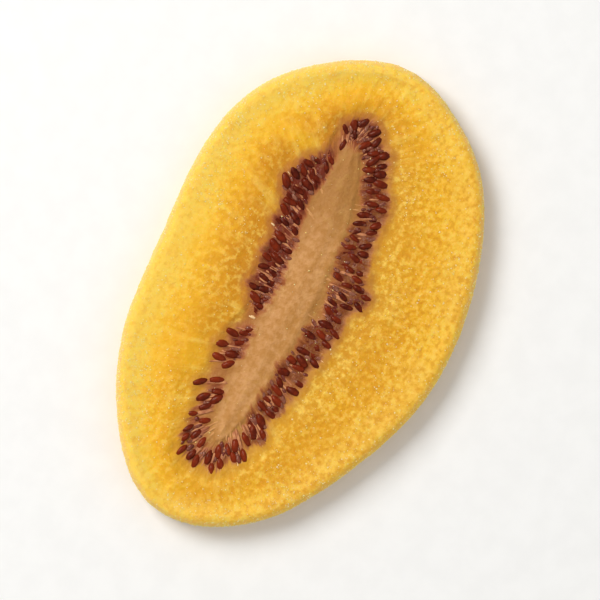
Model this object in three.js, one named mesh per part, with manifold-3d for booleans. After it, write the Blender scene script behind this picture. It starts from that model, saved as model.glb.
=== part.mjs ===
// A dried slice of golden kiwi fruit, cut lengthwise through the core, lying on a flat surface.
// Millimetres, +Z up. +X runs along the slice towards its broad end, the origin is under its middle.
import * as THREE from "three";
import { mergeVertices } from "three/addons/utils/BufferGeometryUtils.js";
import Module from "manifold-3d";

// The outline: an ellipse whose radius swells and shrinks in a few soft lobes, as a peeled fruit's does.
const sliceLength = 63.9;
const sliceWidth = 40.9;
const outlineLobes = [
  { lobes: 1, depth: 0.031, peakDegrees: 33 },
  { lobes: 2, depth: 0.012, peakDegrees: 45 },
  { lobes: 3, depth: 0.036, peakDegrees: 139 },
  { lobes: 4, depth: 0.008, peakDegrees: -124 },
  { lobes: 5, depth: 0.01, peakDegrees: -80 },
  { lobes: 6, depth: 0.006, peakDegrees: 7 },
  { lobes: 7, depth: 0.009, peakDegrees: 71 },
];

// The pale core: a long strip with round ends whose middle line bends towards +Y at the broad end.
const coreLength = 42;
const coreWidth = 5.6;
const coreMiddleOffset = 0.6;
const coreMiddleBend = 3.0;
const coreBendPower = 4;
const coreEndFullness = 2.5;
const coreLineShare = 0.9; // how far the middle line of the surface grid runs towards the core's ends

// How far from the core's edge the ring of seeds begins and ends, every 10 degrees round the slice
// from +X towards +Y.
const seedStart = [
  0.1, 0.2, 0.3, 0.4, 0.4, 1.0, 1.3, 0.2, 0, -0.3, -0.3, 0,
  0.1, 0.1, 0, 0.8, 1.2, 1.3, 1.1, 0.6, 0.3, 0, 0.3, -0.1,
  -0.4, -0.2, 0.5, 0.7, 0.6, 0.4, 0.4, 1.0, 0.7, 0.2, 0.2, 0.1,
];
const seedReach = [
  3.7, 3.9, 4.0, 4.2, 3.3, 5.1, 6.1, 4.4, 3.6, 3.7, 2.4, 3.6,
  4.0, 4.4, 4.2, 4.8, 5.6, 5.5, 4.4, 4.1, 4.1, 4.2, 4.2, 3.2,
  4.2, 4.2, 4.7, 4.6, 6.3, 4.2, 4.4, 4.4, 4.3, 4.1, 4.0, 3.8,
];
// Gaps in the ring of seeds, from one angle to another in degrees.
const seedGaps = [[28, 37], [99, 108], [123, 127], [147, 150], [257, 261], [287, 291]];
// The ring's outer edge is ragged: it draws in where the sum of these lobes is under 1.
const raggedLobes = [
  { lobes: 31, depth: 0.28, peakDegrees: 0 },
  { lobes: 43, depth: 0.22, peakDegrees: 90 },
];

// Thickness of the slice across its zones: [zone coordinate, millimetres]. The zone coordinate is
// 0 on the core's middle line, 1 at the core's edge, 2 where the seeds end and 3 where the rim begins.
const thicknessByZone = [[0, 4.3], [0.75, 4.1], [1.2, 3.75], [1.7, 3.85], [2.3, 4.6], [3, 4.3]];
// How far the underside is drawn up from the surface it lies on. It is 0 along the flat it rests on.
const hollowByZone = [[0, 0.2], [0.7, 0.35], [1.15, 0.75], [1.9, 0.75], [2.22, 0], [3, 0]];
const flatEndZone = 2.5; // outside this zone the slice curls up towards its rim
const curlHeight = 0.45;
const curlLobes = [
  { lobes: 2, depth: 0.4, peakDegrees: 20 },
  { lobes: 3, depth: 0.3, peakDegrees: 75 },
];

// The rim: the squarish, softly rounded edge of the slice.
const rimDepth = 1.5;
const rimSquareness = 2.7;
const rimSteps = 6;

// The seeds: flattened drops packed round the core, their narrow ends towards it.
const seedLength = 2;
const seedWidth = 0.98;
const seedThickness = 1.05;
const seedSides = 4;
const seedRings = 3; // bands of faces along it
const seedNarrowing = 0.75; // width of its narrow half as a share of its wide half
const seedSink = 0.08; // depth of a seed's middle below the surface
const seedFromStart = 0.6; // least distance of a seed's middle from where the ring begins
const seedFromEnd = 0.75; // and from where it ends
const seedTurnDegrees = 26;
const seedSizeVariation = 0.16;
const seedCrowding = { along: 0.82, across: 1.04 }; // closest spacing, in seed lengths and widths
const seedTries = 7000;
const upperSeedDraw = 11;
const lowerSeedDraw = 29;

// Fineness of the surface grid.
const sectors = 72;
const zoneRings = [0, 0.5, 1, 1.3, 1.65, 2, 2.22, flatEndZone, 2.75, 3];

const radians = THREE.MathUtils.degToRad;
const fleshColour = 0xe9ad22;

// One plus a sum of cosines, for a radius or a height that varies softly round the slice.
function lobed(angle, lobes) {
  return lobes.reduce(
    (sum, { lobes: count, depth, peakDegrees }) =>
      sum + depth * Math.cos(count * angle - radians(peakDegrees)),
    1,
  );
}

// Value at x of a curve through [x, value] pairs, eased from each pair to the next.
function eased(pairs, x) {
  const last = pairs[pairs.length - 1];
  if (x >= last[0]) return last[1];
  const i = pairs.findIndex(([start], k) => x >= start && x < pairs[k + 1][0]);
  const [[x0, y0], [x1, y1]] = [pairs[i], pairs[i + 1]];
  return THREE.MathUtils.lerp(y0, y1, THREE.MathUtils.smoothstep(x, x0, x1));
}

// The lobed ellipse before it is centred.
function lobedEllipsePoint(angle) {
  const radius = lobed(angle, outlineLobes);
  return new THREE.Vector2(
    (sliceLength / 2) * radius * Math.cos(angle),
    (sliceWidth / 2) * radius * Math.sin(angle),
  );
}

// The middle of the lobed ellipse's bounding box, which becomes the origin.
function ellipseMiddle() {
  const box = new THREE.Box2();
  const samples = 720;
  for (let i = 0; i < samples; i++) box.expandByPoint(lobedEllipsePoint((i * 2 * Math.PI) / samples));
  return box.getCenter(new THREE.Vector2());
}
const middle = ellipseMiddle();

// The point of the slice's outline at a given angle round it.
function outlinePoint(angle) {
  return lobedEllipsePoint(angle).sub(middle);
}

// The core's middle line as y over x.
function coreMiddle(x) {
  return coreMiddleOffset + coreMiddleBend * Math.pow((x + coreLength / 2) / coreLength, coreBendPower);
}

// The point of the core's edge at a given angle round it.
function corePoint(angle) {
  const x = (coreLength / 2) * Math.cos(angle);
  const fullness = Math.sqrt(Math.max(0, 1 - Math.pow(Math.abs(Math.cos(angle)), coreEndFullness)));
  return new THREE.Vector2(x, coreMiddle(x) + (coreWidth / 2) * fullness * Math.sign(Math.sin(angle)));
}

// The direction in which flesh and seeds run outwards at a given angle.
function outward(angle) {
  return outlinePoint(angle).sub(corePoint(angle)).normalize();
}

// Value at an angle from a list of values at even steps round the slice, eased between them.
function valueRound(list, angle) {
  const station = THREE.MathUtils.euclideanModulo(angle / (2 * Math.PI), 1) * list.length;
  const i = Math.floor(station) % list.length;
  const next = list[(i + 1) % list.length];
  return THREE.MathUtils.lerp(list[i], next, THREE.MathUtils.smoothstep(station - i, 0, 1));
}

// Reach of the seeds beyond the core's edge at a given angle.
function reachAt(angle) {
  return valueRound(seedReach, angle);
}

// The point on a face of the slice at a zone coordinate and angle, seen from above.
function facePoint(zone, angle) {
  const core = corePoint(angle);
  if (zone <= 1) {
    const x = coreLineShare * core.x;
    return new THREE.Vector2(x, coreMiddle(x)).lerp(core, zone);
  }
  const band = core.clone().addScaledVector(outward(angle), reachAt(angle));
  if (zone <= 2) return core.lerp(band, zone - 1);
  const rim = outlinePoint(angle).addScaledVector(outward(angle), -rimDepth);
  return band.lerp(rim, zone - 2);
}

// How far the slice has curled up off the surface at a zone coordinate and angle.
function curl(zone, angle) {
  const share = Math.max(0, (zone - flatEndZone) / (3 - flatEndZone));
  return curlHeight * lobed(angle, curlLobes) * share * share;
}

// Heights of the slice's lower and upper face.
function lowerHeight(zone, angle) {
  return eased(hollowByZone, zone) + curl(zone, angle);
}
function upperHeight(zone, angle) {
  return eased(thicknessByZone, zone) + curl(zone, angle);
}

function raised({ x, y }, z) {
  return new THREE.Vector3(x, y, z);
}

// One ring of the rim, from the upper face (turn 90 degrees) to the lower face (-90 degrees).
function rimPoint(angle, turn) {
  const round = (value) => Math.sign(value) * Math.pow(Math.abs(value), 2 / rimSquareness);
  const top = upperHeight(3, angle);
  const bottom = lowerHeight(3, angle);
  const point = facePoint(3, angle).addScaledVector(outward(angle), rimDepth * round(Math.cos(turn)));
  return raised(point, (top + bottom) / 2 + ((top - bottom) / 2) * round(Math.sin(turn)));
}

// The slice's body without its seeds: rings from the middle of the upper face, over the rim,
// to the middle of the lower face.
function bodyGeometry() {
  const rings = zoneRings.map((zone) => (angle) => raised(facePoint(zone, angle), upperHeight(zone, angle)));
  for (let step = 1; step < rimSteps; step++) {
    const turn = Math.PI / 2 - (Math.PI * step) / rimSteps;
    rings.push((angle) => rimPoint(angle, turn));
  }
  for (const zone of zoneRings.toReversed())
    rings.push((angle) => raised(facePoint(zone, angle), lowerHeight(zone, angle)));

  const positions = [];
  for (const ring of rings)
    for (let i = 0; i < sectors; i++) positions.push(...ring((i * 2 * Math.PI) / sectors).toArray());
  const faces = [];
  for (let r = 0; r < rings.length - 1; r++)
    for (let i = 0; i < sectors; i++) {
      const j = (i + 1) % sectors;
      const [a, b, c, d] = [r * sectors + i, r * sectors + j, (r + 1) * sectors + j, (r + 1) * sectors + i];
      faces.push(a, c, b, a, d, c);
    }
  const geometry = new THREE.BufferGeometry();
  geometry.setAttribute("position", new THREE.Float32BufferAttribute(positions, 3));
  geometry.setIndex(faces);
  return geometry;
}

// A repeatable run of random numbers from 0 to 1.
function seededRandom(seed) {
  let state = seed;
  return () => {
    state = (Math.imul(state, 1664525) + 1013904223) >>> 0;
    return state / 4294967296;
  };
}

// Whether an angle lies in a gap of the ring of seeds.
function isBare(angle) {
  const degrees = THREE.MathUtils.radToDeg(angle);
  return seedGaps.some(([from, to]) => degrees > from && degrees < to);
}

// Angle, distance from the core's edge, turn and size of each seed on one face. Places are drawn at
// random in the ring, and one in a gap or too near an earlier seed is passed over.
function seedPlaces(draw) {
  const random = seededRandom(draw);
  const either = (amount) => (random() * 2 - 1) * amount;
  const places = [];
  for (let i = 0; i < seedTries; i++) {
    const angle = 2 * Math.PI * random();
    const share = (1 - Math.cos(Math.PI * random())) / 2; // most often near an edge of the ring
    const turn = radians(either(seedTurnDegrees));
    const size = 1 + either(seedSizeVariation);
    const nearest = valueRound(seedStart, angle) + seedFromStart;
    const room = (reachAt(angle) - seedFromEnd - nearest) * Math.min(1, lobed(angle, raggedLobes));
    if (room < 0 || isBare(angle)) continue;
    const distance = nearest + share * room;
    const heading = outward(angle);
    const at = corePoint(angle).addScaledVector(heading, distance);
    const crowded = places.some(({ at: other }) => {
      const apart = other.clone().sub(at);
      const along = apart.dot(heading) / (seedLength * seedCrowding.along);
      const across = apart.cross(heading) / (seedWidth * seedCrowding.across);
      return Math.hypot(along, across) <= 1;
    });
    if (!crowded) places.push({ at, angle, distance, turn, size });
  }
  return places;
}

// A seed as a drop of few faces that lies along X, its narrow end towards -X.
function seedGeometry() {
  const geometry = new THREE.SphereGeometry(0.5, seedSides, seedRings).rotateZ(-Math.PI / 2);
  const position = geometry.getAttribute("position");
  for (let i = 0; i < position.count; i++) {
    const taper = position.getX(i) < 0 ? seedNarrowing : 1;
    position.setY(i, position.getY(i) * taper);
    position.setZ(i, position.getZ(i) * taper);
  }
  return geometry.scale(seedLength, seedWidth, seedThickness);
}

// The seeds of one face, each lying in the surface and pointing outwards.
function seedGeometries(draw, height, raise) {
  return seedPlaces(draw).map(({ at, angle, distance, turn, size }) => {
    const zone = 1 + distance / reachAt(angle);
    const geometry = seedGeometry().scale(size, size, size).rotateZ(outward(angle).angle() + turn);
    return geometry.translate(at.x, at.y, height(zone, angle) + raise);
  });
}

const wasm = await Module();
wasm.setup();

// A closed geometry as a solid for joining.
function solidOf(geometry) {
  const bare = geometry.clone();
  bare.deleteAttribute("normal");
  bare.deleteAttribute("uv");
  const merged = mergeVertices(bare, 1e-4);
  return new wasm.Manifold(
    new wasm.Mesh({
      numProp: 3,
      vertProperties: merged.getAttribute("position").array,
      triVerts: new Uint32Array(merged.index.array),
    }),
  );
}

// A joined solid as a geometry for a mesh.
function geometryOf(solid) {
  const { vertProperties, triVerts } = solid.getMesh();
  const geometry = new THREE.BufferGeometry();
  geometry.setAttribute("position", new THREE.BufferAttribute(vertProperties, 3));
  geometry.setIndex(new THREE.BufferAttribute(triVerts, 1));
  const flat = geometry.toNonIndexed();
  flat.computeVertexNormals();
  return flat;
}

// Flesh, core and seeds grew as one piece, so they are one solid.
function sliceMesh() {
  const seeds = [
    ...seedGeometries(upperSeedDraw, upperHeight, -seedSink),
    ...seedGeometries(lowerSeedDraw, lowerHeight, seedSink),
  ];
  const solid = wasm.Manifold.union([bodyGeometry(), ...seeds].map(solidOf));
  const material = new THREE.MeshStandardMaterial({ color: fleshColour, roughness: 0.5, metalness: 0 });
  const mesh = new THREE.Mesh(geometryOf(solid), material);
  mesh.name = "kiwi_slice";
  return mesh;
}

const group = new THREE.Group();
group.add(sliceMesh());
export default group;
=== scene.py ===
"""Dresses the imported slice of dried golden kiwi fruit.

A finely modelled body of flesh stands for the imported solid. On it lie the seeds, the dried gel between
them, the pale stalks that tie them to the core, and grains of sugar. A place on the slice is given by an
angle round it and by a zone: 0 on the core's middle line, 1 at the core's edge, 2 where the seeds end and
3 where the rim begins. Formulas work in millimetres, and meshes are stored in metres.
"""

import logging
import math
from collections.abc import Iterator
from dataclasses import dataclass, field
from enum import Enum
from typing import Any, ClassVar

import bpy
import numpy as np
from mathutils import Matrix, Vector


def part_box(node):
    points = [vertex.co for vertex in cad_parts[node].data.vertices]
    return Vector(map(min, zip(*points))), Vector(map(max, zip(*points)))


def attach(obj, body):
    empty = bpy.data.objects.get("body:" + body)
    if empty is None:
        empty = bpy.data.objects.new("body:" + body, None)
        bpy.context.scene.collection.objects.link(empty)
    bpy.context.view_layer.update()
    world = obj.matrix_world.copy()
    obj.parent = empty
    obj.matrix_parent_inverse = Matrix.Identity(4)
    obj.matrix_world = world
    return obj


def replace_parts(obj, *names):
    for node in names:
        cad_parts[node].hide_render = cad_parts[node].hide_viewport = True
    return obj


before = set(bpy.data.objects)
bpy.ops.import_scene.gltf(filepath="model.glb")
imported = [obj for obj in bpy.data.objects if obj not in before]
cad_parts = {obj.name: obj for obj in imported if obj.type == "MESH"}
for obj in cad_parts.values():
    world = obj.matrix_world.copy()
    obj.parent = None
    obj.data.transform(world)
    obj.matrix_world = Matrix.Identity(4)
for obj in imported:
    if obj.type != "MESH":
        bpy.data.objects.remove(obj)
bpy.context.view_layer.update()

Array = np.ndarray
Material = bpy.types.Material
Piece = bpy.types.Object
Socket = bpy.types.NodeSocket
Lobes = tuple[tuple[int, float, float], ...]
Pair = tuple[float, float]
Pairs = tuple[Pair, ...]

LOG = logging.getLogger("kiwi_slice")
MM = 0.001
SOLID_NODE = "kiwi_slice"
BODY = "root"
OUTLINE_POINTS = 721  # places at which the outline is measured


class Face(Enum):
    """The two cut faces of the slice, with the direction each one looks in."""

    UPPER = 1.0
    LOWER = -1.0


# Seed of the random draw that scatters the seeds of each face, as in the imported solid.
SEED_DRAWS = {Face.UPPER: 11, Face.LOWER: 29}


# Curves and noise


def smooth(low: float, high: float, value: Array) -> Array:
    """Eased step: 0 below low, 1 above high, and 3t^2 - 2t^3 between them."""
    t = np.clip((value - low) / (high - low), 0.0, 1.0)
    return t * t * (3.0 - 2.0 * t)


def eased(pairs: Pairs, x: Array) -> Array:
    """Value of a curve through pairs, eased from each pair to the next.

    Args:
        pairs: (x, value) points in rising order of x.
        x: where to read the curve.

    Returns:
        The curve's values, in the shape of x.
    """
    starts, values = np.array(pairs).T
    i = np.clip(np.searchsorted(starts, x, side="right") - 1, 0, len(starts) - 2)
    t = np.clip((x - starts[i]) / (starts[i + 1] - starts[i]), 0.0, 1.0)
    return values[i] + (values[i + 1] - values[i]) * t * t * (3.0 - 2.0 * t)


def lobed(angle: Array, lobes: Lobes) -> Array:
    """One plus a sum of cosines, one for each (count, depth, peak in degrees)."""
    waves = [depth * np.cos(count * angle - math.radians(peak)) for count, depth, peak in lobes]
    return 1.0 + sum(waves)


def cell_values(cells: Array, salt: int) -> Array:
    """Repeatable random value from -1 to 1 for each whole-numbered cell.

    Args:
        cells: whole numbers with x, y and z on the last axis.
        salt: picks one of many unrelated sets of values.

    Returns:
        One value a cell, from an integer hash of its three numbers.
    """
    x, y, z = (cells[..., i].astype(np.int64) & 0xFFFFFFFF for i in range(3))
    mixed = (x * 374761393 + y * 668265263 + z * 2147483629 + salt * 974634777) & 0xFFFFFFFF
    mixed = ((mixed ^ (mixed >> 13)) * 1274126177) & 0xFFFFFFFF
    mixed = mixed ^ (mixed >> 16)
    return (mixed & 0xFFFFFF) / 0x7FFFFF - 1.0


def noise(points: Array, size: float, salt: int) -> Array:
    """Value noise from -1 to 1: random values on a grid of cells, blended smoothly between its corners.

    Args:
        points: places with x, y and z on the last axis.
        size: edge of a cell, in the unit of points.
        salt: picks one of many unrelated patterns.

    Returns:
        One value a place.
    """
    scaled = points / size
    cell = np.floor(scaled)
    t = scaled - cell
    t = t * t * (3.0 - 2.0 * t)
    total = np.zeros(points.shape[:-1])
    for corner in np.ndindex(2, 2, 2):
        weight = np.prod(np.where(np.array(corner) == 1, t, 1.0 - t), axis=-1)
        total += weight * cell_values(cell + corner, salt)
    return total


def layered_noise(points: Array, size: float, salt: int, layers: int = 3) -> Array:
    """Sum of noise layers, each half as large and half as strong as the one before."""
    strengths = [0.5**layer for layer in range(layers)]
    return sum(s * noise(points, size * s, salt + i) for i, s in enumerate(strengths)) / sum(strengths)


def bell(along: Array, across: Array, size: Pair) -> Array:
    """Oval bell: e to the power of minus the squares of along and across, each over its size."""
    return np.exp(-((along / size[0]) ** 2 + (across / size[1]) ** 2))


def random_run(seed: int) -> Iterator[float]:
    """Repeatable random numbers from a linear congruential generator.

    Args:
        seed: where the run starts.

    Yields:
        Numbers from 0 to 1.
    """
    state = seed
    while True:
        state = (state * 1664525 + 1013904223) & 0xFFFFFFFF
        yield state / 4294967296


# The form of the slice


@dataclass
class SliceForm:
    """Outline, core, seed band and heights of the slice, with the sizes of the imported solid."""

    length: float = 63.9
    width: float = 40.9
    outline_lobes: Lobes = (
        (1, 0.031, 33), (2, 0.012, 45), (3, 0.036, 139), (4, 0.008, -124),
        (5, 0.01, -80), (6, 0.006, 7), (7, 0.009, 71),
    )
    core_length: float = 42.0
    core_width: float = 5.6
    core_offset: float = 0.6
    core_bend: float = 3.0
    core_bend_power: float = 4.0
    core_fullness: float = 2.5
    core_line_share: float = 0.9
    seed_start: tuple[float, ...] = (
        0.1, 0.2, 0.3, 0.4, 0.4, 1.0, 1.3, 0.2, 0.0, -0.3, -0.3, 0.0,
        0.1, 0.1, 0.0, 0.8, 1.2, 1.3, 1.1, 0.6, 0.3, 0.0, 0.3, -0.1,
        -0.4, -0.2, 0.5, 0.7, 0.6, 0.4, 0.4, 1.0, 0.7, 0.2, 0.2, 0.1,
    )
    seed_reach: tuple[float, ...] = (
        3.7, 3.9, 4.0, 4.2, 3.3, 5.1, 6.1, 4.4, 3.6, 3.7, 2.4, 3.6,
        4.0, 4.4, 4.2, 4.8, 5.6, 5.5, 4.4, 4.1, 4.1, 4.2, 4.2, 3.2,
        4.2, 4.2, 4.7, 4.6, 6.3, 4.2, 4.4, 4.4, 4.3, 4.1, 4.0, 3.8,
    )
    seed_gaps: Pairs = ((28, 37), (99, 108), (123, 127), (147, 150), (257, 261), (287, 291))
    ragged_lobes: Lobes = ((31, 0.28, 0), (43, 0.22, 90))
    thickness: Pairs = ((0, 4.3), (0.75, 4.1), (1.2, 3.75), (1.7, 3.85), (2.3, 4.6), (3, 4.3))
    hollow: Pairs = ((0, 0.2), (0.7, 0.35), (1.15, 0.75), (1.9, 0.75), (2.22, 0), (3, 0))
    flat_end: float = 2.5
    curl_height: float = 0.45
    curl_lobes: Lobes = ((2, 0.4, 20), (3, 0.3, 75))
    rim_depth: float = 1.5
    rim_squareness: float = 2.7
    box: Array = field(init=False)
    middle: Array = field(init=False, default_factory=lambda: np.zeros(2))

    def __post_init__(self) -> None:
        """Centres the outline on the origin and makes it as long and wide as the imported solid's box."""
        self.box = np.array(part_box(SOLID_NODE)) / MM
        points = self.outline(np.linspace(0.0, 2.0 * math.pi, OUTLINE_POINTS))
        low, high = points.min(axis=0), points.max(axis=0)
        growth = (self.box[1, :2] - self.box[0, :2]) / (high - low)
        self.middle = (low + high) / 2 * growth
        self.length, self.width = np.array([self.length, self.width]) * growth

    def outline(self, angle: Array) -> Array:
        """Edge of the slice: an ellipse whose radius swells and shrinks in soft lobes.

        Args:
            angle: radians round the slice.

        Returns:
            x and y on the last axis.
        """
        half = np.array([self.length, self.width]) / 2
        around = np.stack([np.cos(angle), np.sin(angle)], axis=-1)
        return half * around * lobed(angle, self.outline_lobes)[..., None] - self.middle

    def core_middle(self, x: Array) -> Array:
        """Middle line of the core as y over x, bending by a power of the way along it."""
        share = (x + self.core_length / 2) / self.core_length
        return self.core_offset + self.core_bend * np.maximum(share, 0.0) ** self.core_bend_power

    def core(self, angle: Array) -> Array:
        """Edge of the core: a long superellipse laid along its bent middle line.

        Args:
            angle: radians round the slice.

        Returns:
            x and y on the last axis.
        """
        x = self.core_length / 2 * np.cos(angle)
        full = np.sqrt(np.maximum(0.0, 1.0 - np.abs(np.cos(angle)) ** self.core_fullness))
        y = self.core_middle(x) + self.core_width / 2 * full * np.sign(np.sin(angle))
        return np.stack([x, y], axis=-1)

    def outward(self, angle: Array) -> Array:
        """Unit vectors from the core's edge to the outline, along which flesh and seeds run."""
        way = self.outline(angle) - self.core(angle)
        return way / np.linalg.norm(way, axis=-1, keepdims=True)

    def value_round(self, values: tuple[float, ...], angle: Array) -> Array:
        """Value at an angle from values at even steps round the slice, eased between them."""
        station = np.mod(angle / (2.0 * math.pi), 1.0) * len(values)
        return eased(tuple(enumerate((*values, values[0]))), station)

    def reach(self, angle: Array) -> Array:
        """How far the seeds reach beyond the core's edge."""
        return self.value_round(self.seed_reach, angle)

    def bare(self, angle: Array, margin: Array) -> Array:
        """Whether an angle lies in a gap of the ring of seeds, which a margin in degrees narrows."""
        degrees = np.degrees(angle)
        return np.any([(degrees > a + margin) & (degrees < b - margin) for a, b in self.seed_gaps], axis=0)

    def place(self, zone: Array, angle: Array) -> Array:
        """Places on a face, seen from above.

        Walks from the core's middle line to its edge, on to the outer edge of the seeds, and on to the
        start of the rim, a straight step in each zone.

        Args:
            zone: 0 to 3, in a shape that broadcasts against angle.
            angle: radians round the slice.

        Returns:
            x and y on the last axis.
        """
        core = self.core(angle)
        out = self.outward(angle)
        line_x = self.core_line_share * core[..., 0]
        line = np.stack([line_x, self.core_middle(line_x)], axis=-1)
        band = core + out * self.reach(angle)[..., None]
        rim = self.outline(angle) - out * self.rim_depth
        steps = [np.clip(zone - start, 0.0, 1.0)[..., None] for start in range(3)]
        return line + (core - line) * steps[0] + (band - core) * steps[1] + (rim - band) * steps[2]

    def curl(self, zone: Array, angle: Array) -> Array:
        """How far the slice curls up: the square of the way from the flat ring to the rim."""
        share = np.clip((zone - self.flat_end) / (3.0 - self.flat_end), 0.0, None)
        return self.curl_height * lobed(angle, self.curl_lobes) * share * share

    def height(self, face: Face, zone: Array, angle: Array) -> Array:
        """Height of a face above the surface that the slice lies on."""
        profile = self.thickness if face is Face.UPPER else self.hollow
        return eased(profile, zone) + self.curl(zone, angle)

    def rim(self, turn: Array, angle: Array) -> Array:
        """Points of the rim: half a superellipse round the space between the two faces.

        Args:
            turn: radians up from level, from a quarter turn at the upper face to minus that at the lower.
            angle: radians round the slice.

        Returns:
            x, y and z on the last axis.
        """
        def rounded(value: Array) -> Array:
            """Value with its size raised to the superellipse's power, its sign kept."""
            return np.sign(value) * np.abs(value) ** (2.0 / self.rim_squareness)

        three = np.full_like(angle, 3.0)
        top = self.height(Face.UPPER, three, angle)
        bottom = self.height(Face.LOWER, three, angle)
        out = self.rim_depth * rounded(np.cos(turn))[..., None] * self.outward(angle)
        z = (top + bottom) / 2 + (top - bottom) / 2 * rounded(np.sin(turn))
        return np.concatenate([self.place(three, angle) + out, z[..., None]], axis=-1)


@dataclass
class SeedPlaces:
    """Where the seeds of one face lie, which way they point and how large they are."""

    at: Array
    heading: Array
    size: Array
    angle: Array
    distance: Array
    buried: Array
    near_bell: Pair = (1.15, 0.72)
    crowd_bell: Pair = (1.5, 1.1)

    def __len__(self) -> int:
        """Number of seeds."""
        return len(self.size)

    def nearness(self, xy: Array) -> tuple[Array, Array]:
        """How near places are to seeds.

        Each seed adds a bell over its own length and width, and a wider one: e to the power of minus
        the squared shares of the way along and across it.

        Args:
            xy: places seen from above.

        Returns:
            The strongest narrow bell at each place, and the sum of the wide ones, from 0 up.
        """
        near = np.zeros(xy.shape[:-1])
        crowd = np.zeros(xy.shape[:-1])
        for at, heading, size in zip(self.at, self.heading, self.size):
            x, y = np.moveaxis(xy - at, -1, 0)
            u = x * math.cos(heading) + y * math.sin(heading)
            v = y * math.cos(heading) - x * math.sin(heading)
            near = np.maximum(near, bell(u / size, v / size, self.near_bell))
            crowd += bell(u, v, self.crowd_bell)
        return near, crowd


@dataclass
class SeedRule:
    """Scatters seeds in the band round the core, none too near an earlier one."""

    length: float = 2.0
    width: float = 0.98
    from_start: float = 0.6
    from_end: float = 0.75
    turn_degrees: float = 26.0
    size_variation: float = 0.16
    tries: int = 7000
    spacing: tuple[float, float] = (0.82, 1.04)
    extra_spacing: tuple[float, float] = (0.56, 0.74)
    extra_tries: int = 1600
    extra_from_start: float = 0.3
    extra_least: float = -0.15
    extra_patch: float = 7.0
    extra_lean: float = 0.018
    gap_margin: float = 2.2

    def scatter(self, form: SliceForm, draw: int) -> SeedPlaces:
        """Places the seeds of one face.

        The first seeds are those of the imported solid. After them come buried ones, which lie deeper
        and closer together and fill the gaps.

        Args:
            form: the slice that the seeds lie in.
            draw: seed of the random draw.

        Returns:
            The places, the first seeds before the buried ones.
        """
        run = random_run(draw)
        numbers = np.array([next(run) for _ in range(4 * (self.tries + self.extra_tries))])
        share_round, share_out, turn, size = numbers.reshape(-1, 4).T
        angle = 2.0 * math.pi * share_round
        share_out = (1.0 - np.cos(math.pi * share_out)) / 2
        extra = np.arange(len(angle)) >= self.tries
        from_start = np.where(extra, self.extra_from_start, self.from_start)
        nearest = form.value_round(form.seed_start, angle) + from_start
        room = form.reach(angle) - self.from_end - nearest
        bare = form.bare(angle, np.where(extra, self.gap_margin, 0.0))
        room = np.where(bare, -1.0, room * np.minimum(1.0, lobed(angle, form.ragged_lobes)))
        distance = nearest + share_out * room
        out = form.outward(angle)
        at = form.core(angle) + out * distance[:, None]
        patches = noise(np.stack([*at.T, 0.0 * angle], axis=-1), self.extra_patch, draw)
        room = np.where(extra & (patches + self.extra_lean * at[:, 0] < self.extra_least), -1.0, room)
        kept: list[int] = []
        for i in range(len(angle)):
            along, across = self.spacing if i < self.tries else self.extra_spacing
            apart = at[kept] - at[i]
            u = apart @ out[i] / (self.length * along)
            v = (apart[:, 1] * out[i, 0] - apart[:, 0] * out[i, 1]) / (self.width * across)
            if room[i] >= 0.0 and np.all(u * u + v * v > 1.0):
                kept.append(i)
        tilt = np.radians((turn[kept] * 2.0 - 1.0) * self.turn_degrees)
        return SeedPlaces(
            at=at[kept],
            heading=np.arctan2(out[kept, 1], out[kept, 0]) + tilt,
            size=1.0 + (size[kept] * 2.0 - 1.0) * self.size_variation,
            angle=angle[kept],
            distance=distance[kept],
            buried=np.array(kept) >= self.tries,
        )


# Meshes


def make_piece(
    name: str,
    points: Array,
    faces: list[Array],
    material: Material,
    slot: str,
    attributes: dict[str, Array] | None = None,
) -> Piece:
    """Makes a smooth-shaded piece of the slice that rides on its body.

    Args:
        name: name of the object.
        points: vertices in millimetres, one row each.
        faces: arrays of vertex numbers, one row a face, all faces of an array with as many corners.
        material: the finish.
        slot: the record's material slot; not used.
        attributes: values or vectors for each vertex, by name.

    Returns:
        The object, at the origin.
    """
    mesh = bpy.data.meshes.new(name)
    corners = np.concatenate([f.ravel() for f in faces]).astype(np.int32)
    totals = np.concatenate([np.full(len(f), f.shape[1]) for f in faces]).astype(np.int32)
    mesh.vertices.add(len(points))
    mesh.vertices.foreach_set("co", (points * MM).astype(np.float32).ravel())
    mesh.loops.add(len(corners))
    mesh.loops.foreach_set("vertex_index", corners)
    mesh.polygons.add(len(totals))
    mesh.polygons.foreach_set("loop_start", np.cumsum(totals, dtype=np.int32) - totals)
    mesh.polygons.foreach_set("loop_total", totals)
    mesh.polygons.foreach_set("use_smooth", np.ones(len(totals), dtype=bool))
    for key, values in (attributes or {}).items():
        kind, channel = ("FLOAT", "value") if values.ndim == 1 else ("FLOAT_VECTOR", "vector")
        data = mesh.attributes.new(key, kind, "POINT").data
        data.foreach_set(channel, values.astype(np.float32).ravel())
    mesh.update(calc_edges=True)
    mesh.validate()
    mesh.materials.append(material)
    piece = bpy.data.objects.new(name, mesh)
    bpy.context.scene.collection.objects.link(piece)
    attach(piece, BODY)
    LOG.info("%s: %d vertices, %d faces", name, len(points), len(totals))
    return piece


def grid_faces(rings: int, sectors: int) -> Array:
    """Quads of a grid of rings, each ring closed, facing out of rings that go down.

    Args:
        rings: number of rings.
        sectors: vertices a ring.

    Returns:
        Vertex numbers, one row a face.
    """
    ring, sector = np.meshgrid(np.arange(rings - 1), np.arange(sectors), indexing="ij")
    after = (sector + 1) % sectors
    corners = [(ring, sector), (ring + 1, sector), (ring + 1, after), (ring, after)]
    return np.stack([(r * sectors + s).ravel() for r, s in corners], axis=-1)


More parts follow.
